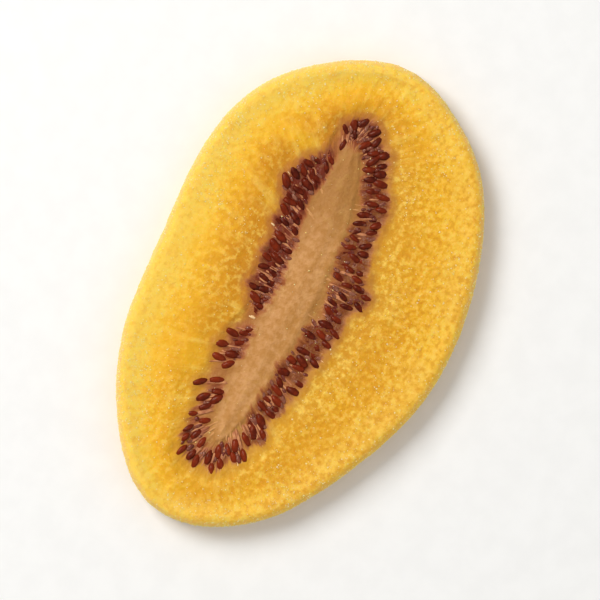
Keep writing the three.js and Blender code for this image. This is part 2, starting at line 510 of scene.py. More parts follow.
def capped_faces(rings: int, sectors: int) -> list[Array]:
    """Faces of a closed blob: rings of vertices, then a pole before the first and one after the last.

    Args:
        rings: number of rings.
        sectors: vertices a ring.

    Returns:
        The quads between rings, and the triangles at both poles.
    """
    sector = np.arange(sectors)
    after = (sector + 1) % sectors
    first = np.full(sectors, rings * sectors)
    last = first + 1
    end = (rings - 1) * sectors
    start_cap = np.stack([first, sector, after], axis=-1)
    end_cap = np.stack([last, end + after, end + sector], axis=-1)
    return [grid_faces(rings, sectors), np.concatenate([start_cap, end_cap])]


def blob(size: Array, rings: int, sectors: int, point: float = 0.0) -> Array:
    """Vertices of one rounded blob along x, as capped_faces joins them.

    Its half-width is a sine bulge, raised to a power that falls from 1 plus point at the narrow end to
    1 minus point at the wide end.

    Args:
        size: half its length, width and thickness.
        rings: rings of vertices between its two poles.
        sectors: vertices a ring.
        point: how much narrower its first end is.

    Returns:
        One row a vertex.
    """
    way = np.linspace(0.0, math.pi, rings + 2)[1:-1]
    turn = np.arange(sectors) * 2.0 * math.pi / sectors
    x = -np.cos(way)[:, None] + 0.0 * turn
    bulge = (np.sin(way) ** (1.0 + point * np.cos(way)))[:, None]
    ring = np.stack([x, bulge * np.sin(turn), bulge * np.cos(turn)], axis=-1)
    return np.concatenate([ring.reshape(-1, 3), [[-1, 0, 0], [1, 0, 0]]]) * size


def copies(points: Array, faces: list[Array]) -> tuple[Array, list[Array]]:
    """Joins many equal blobs into one mesh.

    Args:
        points: vertices with blob, vertex and x, y, z on its axes.
        faces: faces of one blob.

    Returns:
        All vertices in rows, and all faces.
    """
    count, vertices = points.shape[:2]
    offset = (np.arange(count) * vertices)[:, None, None]
    return points.reshape(-1, 3), [(f[None] + offset).reshape(-1, f.shape[1]) for f in faces]


def turned(points: Array, heading: Array, pitch: Array, roll: Array) -> Array:
    """Turns each blob about its own long axis, then nose up, then to its heading on the face.

    Args:
        points: vertices with x, y and z on the last axis.
        heading: radians from x towards y, for each blob.
        pitch: radians up, for each blob.
        roll: radians about its long axis, for each blob.

    Returns:
        The turned vertices.
    """
    x, y, z = np.moveaxis(points, -1, 0)
    y, z = y * np.cos(roll) - z * np.sin(roll), y * np.sin(roll) + z * np.cos(roll)
    x, z = x * np.cos(pitch) - z * np.sin(pitch), x * np.sin(pitch) + z * np.cos(pitch)
    x, y = x * np.cos(heading) - y * np.sin(heading), x * np.sin(heading) + y * np.cos(heading)
    return np.stack([x, y, z], axis=-1)


@dataclass(frozen=True)
class Texture:
    """One noise of the relief: its depth and size, and whether it is drawn out along the fibres."""

    depth: float
    size: float
    layers: int = 3
    fibrous: bool = False


@dataclass
class Flesh:
    """The body of the slice: cut faces, rim and core as one closed surface with fine relief."""

    sectors: int = 640
    upper_rings: tuple[int, int, int] = (16, 26, 44)
    rim_rings: int = 18
    lower_rings: tuple[int, int, int] = (6, 14, 24)
    waves: Texture = Texture(0.16, 9.0)
    fibres: Texture = Texture(0.1, 1.0, fibrous=True)
    puckers: Texture = Texture(0.14, 2.2, layers=1, fibrous=True)
    core: Texture = Texture(0.03, 1.7)
    spokes: Texture = Texture(0.1, 1.3, fibrous=True)
    grain: Texture = Texture(0.05, 0.9, layers=2)
    bed_rise: float = 0.24
    halo_dip: float = 0.12
    halo_zone: float = 2.12
    halo_width: float = 0.12
    fibre_spread: float = 16.0
    zone_stretch: float = 1.1
    upper_salt: int = 10
    lower_salt: int = 60

    def zones(self, face: Face) -> Array:
        """Zones of a face's rings, from the middle line to the start of the rim."""
        counts = self.upper_rings if face is Face.UPPER else self.lower_rings
        return np.concatenate([*(start + np.arange(n) / n for start, n in enumerate(counts)), [3.0]])

    def relief(self, face: Face, zone: Array, base: Array, near: Array, fibre: Array) -> Array:
        """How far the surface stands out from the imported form, along its normal, in millimetres.

        Sums noises, each within its own zones: soft waves from drying, radial fibres in the flesh, long
        fibres in the core, puckers at the rim and grain. It adds a swelling round each seed, and a dip
        round the band of seeds that falls off as a bell.

        Args:
            face: the face that the vertices belong to.
            zone: zone of each vertex.
            base: the vertices.
            near: nearness to seeds.
            fibre: coordinates that are stretched outwards.

        Returns:
            One distance for each vertex.
        """
        salt = self.upper_salt if face is Face.UPPER else self.lower_salt
        at_edge = smooth(0.6, 0.95, zone) * (1.0 - smooth(1.1, 1.6, zone))
        layers = (
            (self.waves, 1.0),
            (self.fibres, smooth(1.9, 2.2, zone)),
            (self.puckers, smooth(2.55, 3.0, zone)),
            (self.core, 1.0 - smooth(0.85, 1.1, zone)),
            (self.spokes, at_edge),
            (self.grain, 1.0),
        )
        dip = np.exp(-(((zone - self.halo_zone) / self.halo_width) ** 2))
        total = self.bed_rise * near - self.halo_dip * dip
        for number, (texture, share) in enumerate(layers):
            points = fibre if texture.fibrous else base
            pattern = layered_noise(points, texture.size, salt + number, texture.layers)
            total += texture.depth * share * pattern
        return total

    def surface(self, form: SliceForm, seeds: dict[Face, SeedPlaces]) -> tuple[Array, dict[str, Array]]:
        """Works out every vertex and the values that the finish reads.

        Rings run from the middle of the upper face over the rim to the middle of the lower face. Each
        vertex is then moved along the surface's normal by the relief, outwards on the upper face and
        only inwards on the rim and the flat ring below, so that the slice keeps its size.

        Args:
            form: the slice.
            seeds: places of the seeds on each face.

        Returns:
            The grid of vertices, and the grids of values by name.
        """
        upper, lower = self.zones(Face.UPPER), self.zones(Face.LOWER)[::-1]
        turns = np.linspace(math.pi / 2, -math.pi / 2, self.rim_rings + 2)[1:-1]
        angle = np.arange(self.sectors) * 2.0 * math.pi / self.sectors
        grid = {}
        for face, zones in ((Face.UPPER, upper), (Face.LOWER, lower)):
            z, a = np.meshgrid(zones, angle, indexing="ij")
            height = form.height(face, z, a)
            grid[face] = np.concatenate([form.place(z, a), height[..., None]], axis=-1)
        turn, a = np.meshgrid(turns, angle, indexing="ij")
        base = np.concatenate([grid[Face.UPPER], form.rim(turn, a), grid[Face.LOWER]])

        zone = np.concatenate([upper, np.full(len(turns), 3.0), lower])[:, None] + 0.0 * angle
        side = np.concatenate([0.0 * upper, np.cos(turns), 0.0 * lower])[:, None] + 0.0 * angle
        angles = np.broadcast_to(angle, zone.shape)
        spread = self.fibre_spread
        fibre = np.stack(
            [spread * np.cos(angles), spread * np.sin(angles), zone * self.zone_stretch], axis=-1
        )
        split = len(upper) + len(turns) // 2
        parts = {Face.UPPER: slice(0, split), Face.LOWER: slice(split, None)}
        relief, near, crowd = (np.zeros(zone.shape) for _ in range(3))
        for face, rows in parts.items():
            near[rows], crowd[rows] = seeds[face].nearness(base[rows, :, :2])
            relief[rows] = self.relief(face, zone[rows], base[rows], near[rows], fibre[rows])
        normal = self.normals(base)
        lying = np.zeros(zone.shape)
        lying[parts[Face.LOWER]] = smooth(2.0, 2.2, zone[parts[Face.LOWER]])
        inward = np.maximum(smooth(0.0, 0.5, side), lying)
        relief = relief * (1.0 - inward) - np.abs(relief) * inward
        points = base + normal * relief[..., None]
        values = {"zone": zone, "side": side, "near": near, "crowd": crowd, "fibre": fibre}
        return np.clip(points, *form.box), values

    def normals(self, points: Array) -> Array:
        """Unit normals of the grid: the cross product of the ways round a ring and across rings.

        Args:
            points: the grid of vertices.

        Returns:
            One vector for each vertex.
        """
        around = np.roll(points, -1, axis=1) - np.roll(points, 1, axis=1)
        across = np.gradient(points, axis=0)
        normal = np.cross(across, around)
        normal[0], normal[-1] = (0.0, 0.0, 1.0), (0.0, 0.0, -1.0)
        return normal / np.maximum(np.linalg.norm(normal, axis=-1, keepdims=True), 1e-9)

    def build(self, points: Array, values: dict[str, Array], material: Material) -> Piece:
        """Makes the piece. The first and last ring each fold flat onto the middle line, so their
        vertices are shared between the two halves of the ring.

        Args:
            points: the grid of vertices.
            values: the grids of values by name.
            material: the finish.

        Returns:
            The piece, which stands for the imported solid.
        """
        rings = len(points)
        faces = grid_faces(rings, self.sectors)
        sector = np.arange(self.sectors)
        folded = np.minimum(sector, (-sector) % self.sectors)
        number = np.arange(rings * self.sectors).reshape(rings, self.sectors)
        number[0] = number[0][folded]
        number[-1] = number[-1][folded]
        used, compact = np.unique(number.ravel(), return_inverse=True)
        rows = {key: grid.reshape(-1, *grid.shape[2:])[used] for key, grid in values.items()}
        vertices = points.reshape(-1, 3)[used]
        piece = make_piece("slice_flesh", vertices, [compact.ravel()[faces]], material, "flesh", rows)
        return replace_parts(piece, SOLID_NODE)


@dataclass
class OnFace:
    """Small things of one kind on one face of the slice, all with as many rings and sectors.

    Attributes:
        form: the slice.
        face: the face that they lie on.
        places: where its seeds lie.
        material: their finish.
        salt: seed of their random draw.
    """

    kind: ClassVar[str]
    slot: ClassVar[str] = "flesh"

    form: SliceForm
    face: Face
    places: SeedPlaces
    material: Material
    salt: int
    rings: int = 5
    sectors: int = 6

    def blobs(self, draw: np.random.Generator) -> tuple[Array, dict[str, Array]]:
        """Vertices of every blob, and values for each vertex by name."""
        raise NotImplementedError

    def level(self, zone: Array, angle: Array, rise: Any) -> Array:
        """Height of points that stand out of the face by rise."""
        return self.form.height(self.face, zone, angle) + self.face.value * rise

    def build(self) -> Piece:
        """Makes all of them as one piece.

        Returns:
            The piece, named after its kind and its face.
        """
        blobs, values = self.blobs(np.random.default_rng(self.salt))
        points, faces = copies(blobs, capped_faces(self.rings, self.sectors))
        name = f"{self.kind}_{self.face.name.lower()}"
        return make_piece(name, points, faces, self.material, self.slot, values)


@dataclass
class Seeds(OnFace):
    """The seeds of one face: flattened drops, half sunk in the gel, their narrow ends to the core."""

    kind: ClassVar[str] = "seeds"
    slot: ClassVar[str] = "seed"

    rings: int = 6
    sectors: int = 8
    length: float = 1.98
    width: float = 1.02
    thickness: float = 0.74
    point: float = 0.5
    rise: float = 0.06
    buried_depth: float = 0.2
    pitch_degrees: float = 10.0
    roll_degrees: float = 45.0

    def blobs(self, draw: np.random.Generator) -> tuple[Array, dict[str, Array]]:
        """Lays a drop on each place, at a random lean.

        Args:
            draw: source of the leans and tints.

        Returns:
            The vertices, and the tint of each.
        """
        places, count = self.places, len(self.places)
        pitch = np.radians(draw.uniform(-1, 1, count) * self.pitch_degrees)[:, None]
        roll = np.radians(draw.uniform(-1, 1, count) * self.roll_degrees)[:, None]
        half = np.array([self.length, self.width, self.thickness]) / 2
        drop = blob(half, self.rings, self.sectors, self.point)
        drops = turned(drop * places.size[:, None, None], places.heading[:, None], pitch, roll)
        zone = 1.0 + places.distance / self.form.reach(places.angle)
        z = self.level(zone, places.angle, self.rise - np.where(places.buried, self.buried_depth, 0.0))
        centres = np.concatenate([places.at, z[:, None]], axis=-1)
        return drops + centres[:, None], {"tint": np.repeat(draw.uniform(0, 1, count), drops.shape[1])}


@dataclass
class GelBeads(OnFace):
    """Drops of dried clear gel in the gaps between the seeds of one face."""

    kind: ClassVar[str] = "gel"
    slot: ClassVar[str] = "seed_gel"

    rings: int = 4
    sectors: int = 7
    count: int = 420
    radius: Pair = (0.1, 0.3)
    stretch: Pair = (1.0, 2.2)
    inwards: Pair = (-0.4, 1.2)
    least_distance: float = 0.2
    turn: float = 0.5
    away: float = 0.75
    rise: float = 0.17
    least_crowd: float = 1.5
    flatness: float = 0.6

    def blobs(self, draw: np.random.Generator) -> tuple[Array, dict[str, Array]]:
        """Lays a flattened ball beside each of many seeds picked at random, and keeps those among seeds.

        Args:
            draw: source of the places and sizes.

        Returns:
            The vertices, and no values.
        """
        form, places = self.form, self.places
        beside = draw.integers(0, len(places), self.count)
        angle = places.angle[beside]
        distance = places.distance[beside] - draw.uniform(*self.inwards, self.count)
        zone = 1.0 + np.maximum(distance, self.least_distance) / form.reach(angle)
        radius = draw.uniform(*self.radius, self.count)
        stretch = draw.uniform(*self.stretch, self.count)
        ball = blob(np.array([1.0, 1.0, self.flatness]), self.rings, self.sectors)
        sizes = np.stack([radius * stretch, radius, radius], axis=-1)
        out = form.outward(angle)
        heading = np.arctan2(out[:, 1], out[:, 0]) + draw.uniform(-self.turn, self.turn, self.count)
        flat = np.zeros((self.count, 1))
        balls = turned(ball[None] * sizes[:, None], heading[:, None], flat, flat)
        z = self.level(zone, angle, self.rise)
        hand = np.sign(draw.uniform(-1, 1, self.count))[:, None]
        at = form.place(zone, angle) + hand * self.away * np.stack([-out[:, 1], out[:, 0]], axis=-1)
        among = places.nearness(at)[1] > self.least_crowd
        centres = np.concatenate([at, z[:, None]], axis=-1)
        return balls[among] + centres[among][:, None], {}


@dataclass
class Threads(OnFace):
    """Pale threads of one face, lying in the surface.

    Attributes:
        radii: radius at the inner and at the outer end.
        depth: depth of the thread's middle below the face.
        end_dive: how much deeper both ends are, in inner radii.
        bend: most that a thread bends aside, in radians round the slice.
    """

    radii: Pair = (0.16, 0.1)
    depth: float = 0.09
    end_dive: float = 1.5
    bend: float = 0.015

    def run(self, draw: np.random.Generator) -> tuple[Array, Array, Array]:
        """Angle of each thread, and the zones where it begins and ends."""
        raise NotImplementedError

    def blobs(self, draw: np.random.Generator) -> tuple[Array, dict[str, Array]]:
        """Makes tapered tubes that bend a little on their way outwards and dive in at both ends.

        The bend is half a sine wave over the way, and the dive the square of 1 minus that wave.

        Args:
            draw: source of the run and the bends.

        Returns:
            The vertices, and no values.
        """
        angle, inner, outer = self.run(draw)
        share = np.linspace(0.0, 1.0, self.rings)
        wave = np.sin(math.pi * share)
        zone = inner[:, None] + (outer - inner)[:, None] * share
        angles = angle[:, None] + draw.uniform(-self.bend, self.bend, len(angle))[:, None] * wave
        first, last = self.radii
        z = self.level(zone, angles, -self.depth - self.end_dive * first * (1.0 - wave) ** 2)
        path = np.concatenate([self.form.place(zone, angles), z[..., None]], axis=-1)
        radius = first + (last - first) * share
        turn = np.arange(self.sectors) * 2.0 * math.pi / self.sectors
        out = self.form.outward(angle)
        side = np.stack([-out[:, 1], out[:, 0], 0.0 * out[:, 0]], axis=-1)[:, None, None]
        up = np.array([0.0, 0.0, 1.0])
        section = np.sin(turn)[:, None] * side + np.cos(turn)[:, None] * up
        tube = path[:, :, None] + section * radius[:, None, None]
        return np.concatenate([tube.reshape(len(angle), -1, 3), path[:, [0, -1]]], axis=1), {}


@dataclass
class Stalks(Threads):
    """Threads that tie the seeds to the core."""

    kind: ClassVar[str] = "stalks"

    start: Pair = (0.6, 1.0)
    seed_gap: float = 0.6
    least_length: float = 0.2

    def run(self, draw: np.random.Generator) -> tuple[Array, Array, Array]:
        """Runs one from the core to near the middle of each seed that isn't buried.

        Args:
            draw: source of their inner ends.

        Returns:
            Angle of each thread, and the zones where it begins and ends.
        """
        tied = ~self.places.buried
        angle, distance = self.places.angle[tied], self.places.distance[tied]
        inner = draw.uniform(*self.start, len(angle))
        length = np.maximum(distance - self.seed_gap, self.least_length)
        return angle, inner, 1.0 + length / self.form.reach(angle)


@dataclass
class Walls(Threads):
    """Threads between the seeds, fewer towards the broad end."""

    kind: ClassVar[str] = "walls"

    radii: Pair = (0.17, 0.09)
    depth: float = -0.1
    count: int = 250
    loss: float = 0.45
    loss_x: Pair = (0.0, 12.0)
    start: Pair = (-0.08, 0.12)
    end: Pair = (1.55, 1.95)

    def run(self, draw: np.random.Generator) -> tuple[Array, Array, Array]:
        """Runs them through the ring of seeds at random angles, none of them in a gap of the ring.

        Args:
            draw: source of their angles and ends.

        Returns:
            Angle of each thread, and the zones where it begins and ends.
        """
        form = self.form
        angle = draw.uniform(0.0, 2.0 * math.pi, self.count)
        loss = self.loss * smooth(*self.loss_x, form.core(angle)[:, 0])
        lost = form.bare(angle, np.zeros(len(angle))) | (draw.uniform(0.0, 1.0, len(angle)) < loss)
        angle = angle[~lost]
        start = np.maximum(form.value_round(form.seed_start, angle), 0.0) / form.reach(angle)
        inner = 1.0 + start + draw.uniform(*self.start, len(angle))
        return angle, inner, draw.uniform(*self.end, len(angle))


@dataclass
class Tufts(Threads):
    """Short cream threads beside some of the outermost seeds, and a knot of them in a gap."""

    kind: ClassVar[str] = "tufts"

    radii: Pair = (0.26, 0.1)
    depth: float = 0.06
    chosen_share: float = 0.2
    outer_share: float = 0.62
    aside: Pair = (0.02, 0.045)
    seed_gap: float = 0.6
    length: Pair = (0.4, 1.2)
    knot_degrees: float = 103.0
    knot_spread_degrees: float = 2.4
    knot_threads: int = 5
    knot_start: Pair = (0.9, 1.2)
    knot_end: Pair = (1.3, 1.9)

    def run(self, draw: np.random.Generator) -> tuple[Array, Array, Array]:
        """Runs one outwards from beside each chosen seed, and those of the knot from the core.

        Args:
            draw: source of the choice, the angles and the ends.

        Returns:
            Angle of each thread, and the zones where it begins and ends.
        """
        form, places = self.form, self.places
        outside = places.distance > self.outer_share * form.reach(places.angle)
        chosen = outside & (draw.uniform(0, 1, len(places)) < self.chosen_share)
        reach = form.reach(places.angle[chosen])
        angle = places.angle[chosen] + draw.uniform(*self.aside, len(reach))
        inner = 1.0 + places.distance[chosen] / reach
        tip = places.distance[chosen] + self.seed_gap + draw.uniform(*self.length, len(reach))
        room = np.linalg.norm(form.place(np.full_like(angle, 3.0), angle) - form.core(angle), axis=-1)
        outer = np.where(tip < reach, 1.0 + tip / reach, 2.0 + (tip - reach) / (room - reach))
        count = self.knot_threads
        spread = draw.uniform(-1.0, 1.0, count) * self.knot_spread_degrees
        return (
            np.concatenate([angle, np.radians(self.knot_degrees + spread)]),
            np.concatenate([inner, draw.uniform(*self.knot_start, count)]),
            np.concatenate([outer, draw.uniform(*self.knot_end, count)]),
        )


@dataclass
class SugarGrains:
    """Grains of sugar stuck to the slice: small crystals of eight faces, thicker in patches."""

    count: int = 10000
    size: Pair = (0.045, 0.14)
    small_power: float = 2.5
    unevenness: Pair = (0.65, 1.35)
    patch_size: float = 6.0
    patch_edge: Pair = (-0.35, 0.6)
    bare_share: float = 0.15
    seed_loss: float = 0.85
    rim_gain: float = 0.9
    side_gain: float = 0.8
    least_height: float = 0.25
    salt: int = 71
    patch_salt: int = 5

    def chance(self, points: Array, values: dict[str, Array], area: Array) -> Array:
        """Chance of a grain in each cell of the flesh's grid.

        It is the cell's area times a patchy noise, lower in the core and among the seeds, higher towards
        the rim and on it, and nought on the part that the slice rests on.

        Args:
            points: the grid of the flesh's vertices.
            values: its grids of values.
            area: area of each cell.

        Returns:
            Chances that add up to 1.
        """
        zone, side = values["zone"][:-1], values["side"][:-1]
        patches = smooth(*self.patch_edge, layered_noise(points[:-1], self.patch_size, self.patch_salt))
        band = smooth(0.1, 0.5, values["crowd"][:-1])
        band = np.maximum(band, 1.0 - smooth(0.9, 1.3, zone))
        chance = self.bare_share + (1.0 - self.bare_share) * patches
        chance = chance * (1.0 - self.seed_loss * band) * (0.4 + self.rim_gain * smooth(2.4, 3.0, zone))
        chance = chance + self.side_gain * side
        chance = chance * np.where(points[:-1, :, 2] < self.least_height, 0.0, 1.0) * area
        return chance / chance.sum()

    def build(self, form: SliceForm, points: Array, values: dict[str, Array],
              material: Material) -> Piece:
        """Makes the grains as one piece.

        Args:
            form: the slice.
            points: the grid of the flesh's vertices.
            values: its grids of values.
            material: the finish.

        Returns:
            The piece.
        """
        draw = np.random.default_rng(self.salt)
        across = points[1:] - points[:-1]
        around = np.roll(points, -1, axis=1) - points
        area = np.linalg.norm(np.cross(across, around[:-1]), axis=-1)
        chance = self.chance(points, values, area)
        picked = draw.choice(chance.size, self.count, p=chance.ravel())
        ring, sector = np.unravel_index(picked, chance.shape)
        s, t = draw.uniform(0, 1, (2, self.count, 1))
        at = points[ring, sector] + s * across[ring, sector] + t * around[ring, sector]
        low, high = self.size
        radius = low + (high - low) * draw.uniform(0, 1, self.count) ** self.small_power
        corners = np.concatenate([np.eye(3), -np.eye(3)])
        spins = np.linalg.qr(draw.normal(size=(self.count, 3, 3)))[0]
        spins[:, :, 0] *= np.sign(np.linalg.det(spins))[:, None]
        uneven = draw.uniform(*self.unevenness, (self.count, 6, 1))
        grains = np.einsum("vk,njk->nvj", corners, spins) * uneven * radius[:, None, None]
        triangles = np.array([[0, 1, 2], [1, 3, 2], [3, 4, 2], [4, 0, 2],
                              [1, 0, 5], [3, 1, 5], [4, 3, 5], [0, 4, 5]])
        joined, faces = copies(grains + at[:, None], [triangles])
        piece = make_piece("sugar_grains", np.clip(joined, *form.box), faces, material, "sugar")
        piece.data.shade_flat()
        return piece


# Finishes


def colour(code: str) -> tuple[float, float, float, float]:
    """Linear colour from a hex code, by the sRGB curve.

    Args:
        code: the code, such as F0B52E.

    Returns:
        Red, green, blue and an alpha of 1.
    """
    parts = [int(code[i : i + 2], 16) / 255 for i in (0, 2, 4)]
    linear = [p / 12.92 if p <= 0.04045 else ((p + 0.055) / 1.055) ** 2.4 for p in parts]
    return (*linear, 1.0)


class Nodes:
    """Adds and links nodes in one tree, with short names for those that the finishes use most."""

    def __init__(self, tree: bpy.types.NodeTree) -> None:
        """Works on the given tree."""
        self.tree = tree

    def add(self, kind: str, values: dict[Any, Any] | None = None, **settings: Any) -> bpy.types.Node:
        """Adds a node.

        Args:
            kind: the node's type without its ShaderNode prefix.
            values: a number, a colour or another node's output for each input, by name or place.
            settings: properties of the node.

        Returns:
            The node.
        """
        node = self.tree.nodes.new(f"ShaderNode{kind}")
        for key, value in settings.items():
            setattr(node, key, value)
        for key, value in (values or {}).items():
            self.set(node.inputs[key], value)
        return node

    def set(self, socket: Socket, value: Any) -> None:
        """Links a socket to another node's output, or gives it a plain value.

        Args:
            socket: an input of a node.
            value: the output, number or colour for it.
        """
        if isinstance(value, Socket):
            self.tree.links.new(value, socket)
        else:
            socket.default_value = value

    def attribute(self, name: str, output: str = "Fac") -> Socket:
        """A value or vector that the mesh carries."""
        return self.add("Attribute", attribute_name=name).outputs[output]

    def millimetres(self) -> Socket:
        """Object coordinates in millimetres."""
        place = self.add("TexCoord").outputs["Object"]
        return self.add("Mapping", {"Vector": place, "Scale": (1.0 / MM,) * 3}).outputs[0]

    def math(self, operation: str, a: Any, b: Any, clamp: bool = False) -> Socket:
        """A sum, product or other operation of two values."""
        return self.add("Math", {0: a, 1: b}, operation=operation, use_clamp=clamp).outputs[0]

    def times(self, a: Any, b: Any) -> Socket:
        """Product of two values."""
        return self.math("MULTIPLY", a, b)

    def plus(self, a: Any, b: Any, clamp: bool = False) -> Socket:
        """Sum of two values, held between 0 and 1 if clamp is true."""
        return self.math("ADD", a, b, clamp)

    def step(self, value: Any, low: float, high: float, to: float = 1.0) -> Socket:
        """Eased step from 0 at low to another value at high, where high may be under low.

        Args:
            value: what is read.
            low: value that gives 0.
            high: value that gives the full step.
            to: height of the step.

        Returns:
            The step's output.
        """
        values = {"Value": value, "From Min": low, "From Max": high, "To Min": 0.0, "To Max": to}
        if low > high:
            values.update({"From Min": high, "From Max": low, "To Min": to, "To Max": 0.0})
        return self.add("MapRange", values, interpolation_type="SMOOTHSTEP").outputs["Result"]

    def noise(self, place: Any, scale: float, detail: float = 2.0, rough: float = 0.5) -> Socket:
        """Noise from 0 to 1."""
        values = {"Vector": place, "Scale": scale, "Detail": detail, "Roughness": rough}
        return self.add("TexNoise", values).outputs["Fac"]

    def mix(self, share: Any, a: Any, b: Any) -> Socket:
        """Colour between a and b.

        Args:
            share: share of b.
            a: a hex code or an output.
            b: a hex code or an output.

        Returns:
            The mixed colour.
        """
        node = self.add("Mix", {"Factor": share}, data_type="RGBA")
        for socket, value in ((node.inputs[6], a), (node.inputs[7], b)):
            self.set(socket, colour(value) if isinstance(value, str) else value)
        return node.outputs[2]

    def bump(self, height: Any, depth: float) -> Socket:
        """Normal from a height of 0 to 1, where 1 stands depth millimetres high."""
        return self.add("Bump", {"Height": height, "Distance": depth * MM}).outputs["Normal"]


def new_group(name: str, inputs: dict[str, str], outputs: dict[str, str]) -> Nodes:
    """Makes an empty shader node group.

    Args:
        name: the group's name.
        inputs: socket type of each input, without its NodeSocket prefix, by name.
        outputs: the same for each output.

    Returns:
        Its tree, ready for nodes.
    """
    tree = bpy.data.node_groups.new(name, "ShaderNodeTree")
    for sockets, way in ((inputs, "INPUT"), (outputs, "OUTPUT")):
        for key, kind in sockets.items():
            tree.interface.new_socket(key, in_out=way, socket_type=f"NodeSocket{kind}")
    return Nodes(tree)


def dried_grain() -> bpy.types.NodeTree:
    """The granular skin of dried flesh: mottling, fine grain and sugar dust.

    Returns:
        A group with outputs Mottle, Dust and Height, each from 0 to about 1.
    """
    inputs = {"Place": "Vector", "Dust": "Float"}
    nodes = new_group("dried_grain", inputs, {"Mottle": "Float", "Dust": "Float", "Height": "Float"})
    entry = nodes.tree.nodes.new("NodeGroupInput")
    leave = nodes.tree.nodes.new("NodeGroupOutput")
    place = entry.outputs["Place"]
    mottle = nodes.noise(place, 1.35, 3.0, 0.6)
    grain = nodes.noise(place, 3.4, 3.0, 0.6)
    specks = nodes.add("TexVoronoi", {"Vector": place, "Scale": 1.9}, feature="F1")
    small = nodes.step(specks.outputs["Distance"], 0.42, 0.1)
    chosen = nodes.step(specks.outputs["Color"], 0.35, 0.8)
    patches = nodes.step(nodes.noise(place, 0.22, 3.0), 0.3, 0.7)
    dust = nodes.times(nodes.times(small, chosen), patches)
    dust = nodes.math("MULTIPLY", dust, entry.outputs["Dust"], clamp=True)
    lumps = nodes.plus(nodes.times(mottle, 0.3), nodes.times(grain, 0.5))
    height = nodes.plus(lumps, nodes.times(dust, 0.4))
    for key, value in (("Mottle", mottle), ("Dust", dust), ("Height", height)):
        nodes.set(leave.inputs[key], value)
    return nodes.tree


@dataclass(frozen=True)
class Finish:
    """A finish with the numbers that are the same all over it."""

    name: str
    roughness: float = 0.5
    subsurface: float = 0.0
    subsurface_depth: float = 1.0
    subsurface_reach: tuple[float, float, float] = (1.0, 0.5, 0.2)
    coat: float = 0.0
    coat_roughness: float = 0.2
    transmission: float = 0.0
    ior: float = 1.45
    gleam: tuple[float, float, float] = (1.0, 1.0, 1.0)

    def start(self) -> tuple[Material, Nodes, bpy.types.Node]:
        """Makes a material whose Principled BSDF holds those numbers.

        Returns:
            The material, its nodes and the Principled BSDF.
        """
        material = bpy.data.materials.new(self.name)
        material.use_nodes = True
        nodes = Nodes(material.node_tree)
        shader = material.node_tree.nodes["Principled BSDF"]
        numbers = {
            "Roughness": self.roughness,
            "Subsurface Weight": self.subsurface,
            "Subsurface Scale": self.subsurface_depth * MM,
            "Subsurface Radius": self.subsurface_reach,
            "Coat Weight": self.coat,
            "Coat Roughness": self.coat_roughness,
            "Transmission Weight": self.transmission,
            "IOR": self.ior,
            "Specular Tint": (*self.gleam, 1.0),
        }
        for key, value in numbers.items():
            shader.inputs[key].default_value = value
        return material, nodes, shader


